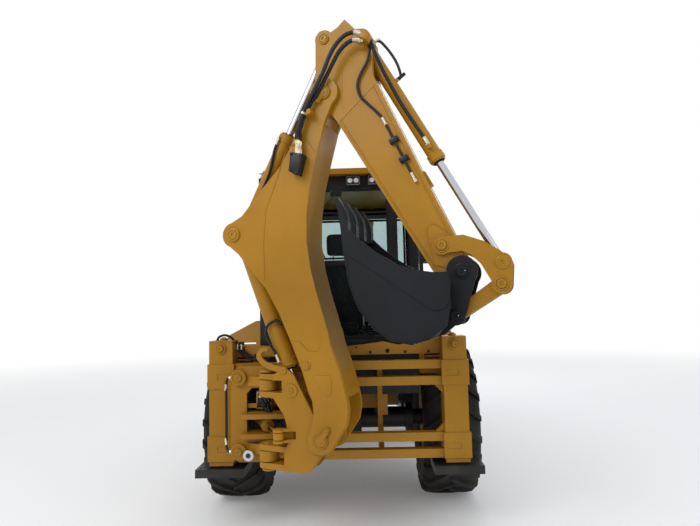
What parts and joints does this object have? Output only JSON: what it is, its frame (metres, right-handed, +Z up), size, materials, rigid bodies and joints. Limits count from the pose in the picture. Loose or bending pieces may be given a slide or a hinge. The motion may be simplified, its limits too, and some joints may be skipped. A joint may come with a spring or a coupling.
{
  "type": "backhoe loader",
  "caption": "Backhoe loader with a glazed cab, a front loader bucket on lift arms, a side-shift rear frame with stabilisers and a folded digging arm with bucket.",
  "frame": {"origin": "on the ground, under the middle of the machine's length and width", "axes": "+Y forward towards the loader bucket, +X to the machine's right, +Z up"},
  "size_m": [2.4, 6.1777, 3.621],
  "materials": {
    "yellow": "satin",
    "black": "satin",
    "tyre": "matt",
    "chrome": "polished",
    "glass": "clear",
    "iron": "rough",
    "hose": "braided",
    "plastic": "matt",
    "seat": "woven"
  },
  "bodies": {
    "chassis": {"chassis": "yellow", "engine_block": "iron", "cowl": "yellow", "nose": "black", "cab_frame": "black", "cab_roof": "yellow", "cab_glass": "glass", "seat": "seat", "controls": "plastic", "fenders": "yellow", "side_tanks": "black", "rear_axle": "black", "front_axle": "black", "rear_frame": "yellow"},
    "boom": {"boom": "yellow", "boom_hoses": "hose"},
    "dipper": {"dipper": "yellow", "dipper_hoses": "hose"},
    "bucket_barrel": {"bucket_barrel": "yellow", "bucket_ram_hoses": "hose"},
    "boom_barrel": {"boom_barrel": "yellow", "boom_ram_hose": "hose"},
    "dipper_barrel": {"dipper_barrel": "yellow", "dipper_ram_hose": "hose"},
    "carriage": {"carriage": "yellow", "carriage_hose": "hose"},
    "hood": {"hood": "yellow"},
    "door_left": {"door_left": "black"},
    "door_right": {"door_right": "black"},
    "knuckle_left": {"knuckle_left": "black"},
    "knuckle_right": {"knuckle_right": "black"},
    "wheel_rear_left": {"wheel_rear_left": "tyre"},
    "wheel_rear_right": {"wheel_rear_right": "tyre"},
    "wheel_front_left": {"wheel_front_left": "tyre"},
    "wheel_front_right": {"wheel_front_right": "tyre"},
    "loader_arms": {"loader_arms": "yellow"},
    "lift_barrels": {"lift_barrels": "yellow"},
    "lift_rods": {"lift_rods": "chrome"},
    "tilt_levers": {"tilt_levers": "yellow"},
    "tilt_barrels": {"tilt_barrels": "yellow"},
    "tilt_rods": {"tilt_rods": "chrome"},
    "tilt_links": {"tilt_links": "yellow"},
    "loader_bucket": {"loader_bucket": "black"},
    "stabiliser_left": {"stabiliser_left": "black"},
    "stabiliser_right": {"stabiliser_right": "black"},
    "kingpost": {"kingpost": "yellow"},
    "swing_barrel_left": {"swing_barrel_left": "yellow"},
    "swing_rod_left": {"swing_rod_left": "chrome"},
    "swing_barrel_right": {"swing_barrel_right": "yellow"},
    "swing_rod_right": {"swing_rod_right": "chrome"},
    "digging_bucket": {"digging_bucket": "black"},
    "bucket_lever": {"bucket_lever": "yellow"},
    "bucket_link": {"bucket_link": "yellow"},
    "boom_rod": {"boom_rod": "chrome"},
    "dipper_rod": {"dipper_rod": "chrome"},
    "bucket_rod": {"bucket_rod": "chrome"}
  },
  "joints": [
    {"name": "spin_rear_left", "type": "hinge", "parent": "chassis", "child": "wheel_rear_left", "pos_m": [-0.905, -1.14371, 0.655], "axis": [-1, 0, 0], "continuous": true},
    {"name": "steer_left", "type": "hinge", "parent": "chassis", "child": "knuckle_left", "pos_m": [-0.7, 1.05629, 0.49], "axis": [0, 0, 1], "range_deg": [-30, 30]},
    {"name": "spin_front_left", "type": "hinge", "parent": "knuckle_left", "child": "wheel_front_left", "pos_m": [-0.905, 1.05629, 0.49], "axis": [-1, 0, 0], "continuous": true},
    {"name": "spin_rear_right", "type": "hinge", "parent": "chassis", "child": "wheel_rear_right", "pos_m": [0.905, -1.14371, 0.655], "axis": [-1, 0, 0], "continuous": true},
    {"name": "steer_right", "type": "hinge", "parent": "chassis", "child": "knuckle_right", "pos_m": [0.7, 1.05629, 0.49], "axis": [0, 0, 1], "range_deg": [-30, 30]},
    {"name": "spin_front_right", "type": "hinge", "parent": "knuckle_right", "child": "wheel_front_right", "pos_m": [0.905, 1.05629, 0.49], "axis": [-1, 0, 0], "continuous": true},
    {"name": "hood_hinge", "type": "hinge", "parent": "chassis", "child": "hood", "pos_m": [0, 0.42029, 1.756], "axis": [1, 0, 0], "range_deg": [0, 45]},
    {"name": "door_left_hinge", "type": "hinge", "parent": "chassis", "child": "door_left", "pos_m": [-0.788, -0.23771, 1.86], "axis": [0, 0, -1], "range_deg": [0, 80]},
    {"name": "door_right_hinge", "type": "hinge", "parent": "chassis", "child": "door_right", "pos_m": [0.788, -0.23771, 1.86], "axis": [0, 0, 1], "range_deg": [0, 80]},
    {"name": "loader_lift", "type": "hinge", "parent": "chassis", "child": "loader_arms", "pos_m": [0, -0.02371, 1.5], "axis": [1, 0, 0], "range_deg": [-10, 74]},
    {"name": "loader_tilt", "type": "hinge", "parent": "loader_arms", "child": "loader_bucket", "pos_m": [0, 2.20629, 0.52], "axis": [-1, 0, 0], "range_deg": [0, 92]},
    {"name": "lift_swing", "type": "hinge", "parent": "chassis", "child": "lift_barrels", "pos_m": [0, 0.04629, 0.854], "axis": [1, 0, 0], "range_deg": [-8.9, 59.4]},
    {"name": "lift_stroke", "type": "slide", "parent": "lift_barrels", "child": "lift_rods", "axis": [0, 0.9792, 0.2027], "range_m": [-0.099, 0.702]},
    {"name": "tilt_lever_hinge", "type": "hinge", "parent": "loader_arms", "child": "tilt_levers", "pos_m": [0, 1.50629, 1.23], "axis": [-1, 0, 0], "range_deg": [-1, 93]},
    {"name": "tilt_link_hinge", "type": "hinge", "parent": "tilt_levers", "child": "tilt_links", "pos_m": [0, 1.35089, 1.52226], "axis": [-1, 0, 0], "range_deg": [-93, 1]},
    {"name": "tilt_swing", "type": "hinge", "parent": "loader_arms", "child": "tilt_barrels", "pos_m": [0, 0.25629, 1.7], "axis": [1, 0, 0], "range_deg": [-1, 11.1]},
    {"name": "tilt_stroke", "type": "slide", "parent": "tilt_barrels", "child": "tilt_rods", "axis": [0, 0.9587, -0.2844], "range_m": [-0.005, 0.375]},
    {"name": "stabiliser_left_slide", "type": "slide", "parent": "chassis", "child": "stabiliser_left", "axis": [0, 0, -1], "range_m": [0, 0.5]},
    {"name": "stabiliser_right_slide", "type": "slide", "parent": "chassis", "child": "stabiliser_right", "axis": [0, 0, -1], "range_m": [0, 0.5]},
    {"name": "side_shift", "type": "slide", "parent": "chassis", "child": "carriage", "axis": [1, 0, 0], "range_m": [0, 0.94]},
    {"name": "arm_swing", "type": "hinge", "parent": "carriage", "child": "kingpost", "pos_m": [-0.47, -2.42371, 0.812], "axis": [0, 0, -1], "range_deg": [-12, 160]},
    {"name": "swing_left_turn", "type": "hinge", "parent": "carriage", "child": "swing_barrel_left", "pos_m": [-0.545, -2.15371, 0.812], "axis": [0, 0, -1], "range_deg": [-5.6, 62.3]},
    {"name": "swing_left_stroke", "type": "slide", "parent": "swing_barrel_left", "child": "swing_rod_left", "axis": [0.3483, -0.9374, 0], "range_m": [-0.281, 0.026]},
    {"name": "swing_right_turn", "type": "hinge", "parent": "carriage", "child": "swing_barrel_right", "pos_m": [-0.395, -2.15371, 0.955], "axis": [0, 0, -1], "range_deg": [-5.1, 55.5]},
    {"name": "swing_right_stroke", "type": "slide", "parent": "swing_barrel_right", "child": "swing_rod_right", "axis": [0.5232, -0.8522, 0], "range_m": [-0.031, 0.353]},
    {"name": "boom_hinge", "type": "hinge", "parent": "kingpost", "child": "boom", "pos_m": [-0.04416, -2.54582, 0.796], "axis": [0.2756, 0.9613, 0], "range_deg": [0, 100]},
    {"name": "dipper_hinge", "type": "hinge", "parent": "boom", "child": "dipper", "pos_m": [0.01448, -2.56263, 3.113], "axis": [-0.2756, -0.9613, 0], "range_deg": [0, 105]},
    {"name": "bucket_hinge", "type": "hinge", "parent": "dipper", "child": "digging_bucket", "pos_m": [0.86039, -2.80519, 1.861], "axis": [-0.2756, -0.9613, 0], "range_deg": [0, 150]},
    {"name": "boom_swing", "type": "hinge", "parent": "boom", "child": "boom_barrel", "pos_m": [-0.64591, -2.37327, 2.179], "axis": [-0.2756, -0.9613, 0], "range_deg": [-12.8, 1]},
    {"name": "boom_stroke", "type": "slide", "parent": "boom_barrel", "child": "boom_rod", "axis": [0.3365, -0.0965, -0.9367], "range_m": [-0.005, 0.512]},
    {"name": "dipper_swing", "type": "hinge", "parent": "boom", "child": "dipper_barrel", "pos_m": [-0.64591, -2.37327, 2.179], "axis": [-0.2756, -0.9613, 0], "range_deg": [-1, 13]},
    {"name": "dipper_stroke", "type": "slide", "parent": "dipper_barrel", "child": "dipper_rod", "axis": [0.4399, -0.1261, 0.8891], "range_m": [-0.592, 0.005]},
    {"name": "bucket_lever_hinge", "type": "hinge", "parent": "dipper", "child": "bucket_lever", "pos_m": [0.74696, -2.77267, 2.027], "axis": [-0.2756, -0.9613, 0], "range_deg": [-1, 93.8]},
    {"name": "bucket_link_hinge", "type": "hinge", "parent": "bucket_lever", "child": "bucket_link", "pos_m": [1.08532, -2.86969, 1.776], "axis": [-0.2756, -0.9613, 0], "range_deg": [-15.3, 1]},
    {"name": "bucket_swing", "type": "hinge", "parent": "dipper", "child": "bucket_barrel", "pos_m": [0.26537, -2.63457, 3.47], "axis": [-0.2756, -0.9613, 0], "range_deg": [-1, 5]},
    {"name": "bucket_stroke", "type": "slide", "parent": "bucket_barrel", "child": "bucket_rod", "axis": [0.4642, -0.1331, -0.8757], "range_m": [-0.553, 0.005]}
  ],
  "couplings": [
    {"joint": "steer_right", "follows": "steer_left", "ratio": 1},
    {"joint": "lift_swing", "follows": "loader_lift", "ratio": 0.78914},
    {"joint": "lift_stroke", "follows": "loader_lift", "m_per_rad": 0.53943},
    {"joint": "tilt_lever_hinge", "follows": "loader_tilt", "ratio": 1},
    {"joint": "tilt_link_hinge", "follows": "loader_tilt", "ratio": -1},
    {"joint": "tilt_swing", "follows": "loader_tilt", "ratio": 0.10951},
    {"joint": "tilt_stroke", "follows": "loader_tilt", "m_per_rad": 0.23038},
    {"joint": "swing_left_turn", "follows": "arm_swing", "ratio": 0.38303},
    {"joint": "swing_left_stroke", "follows": "arm_swing", "m_per_rad": -0.098821},
    {"joint": "swing_right_turn", "follows": "arm_swing", "ratio": 0.34069},
    {"joint": "swing_right_stroke", "follows": "arm_swing", "m_per_rad": 0.12455},
    {"joint": "boom_swing", "follows": "boom_hinge", "ratio": -0.11798},
    {"joint": "boom_stroke", "follows": "boom_hinge", "m_per_rad": 0.29075},
    {"joint": "dipper_swing", "follows": "dipper_hinge", "ratio": 0.11472},
    {"joint": "dipper_stroke", "follows": "dipper_hinge", "m_per_rad": -0.32034},
    {"joint": "bucket_lever_hinge", "follows": "bucket_hinge", "ratio": 0.6186},
    {"joint": "bucket_link_hinge", "follows": "bucket_hinge", "ratio": -0.095409},
    {"joint": "bucket_swing", "follows": "bucket_hinge", "ratio": 0.026367},
    {"joint": "bucket_stroke", "follows": "bucket_hinge", "m_per_rad": -0.20947}
  ]
}
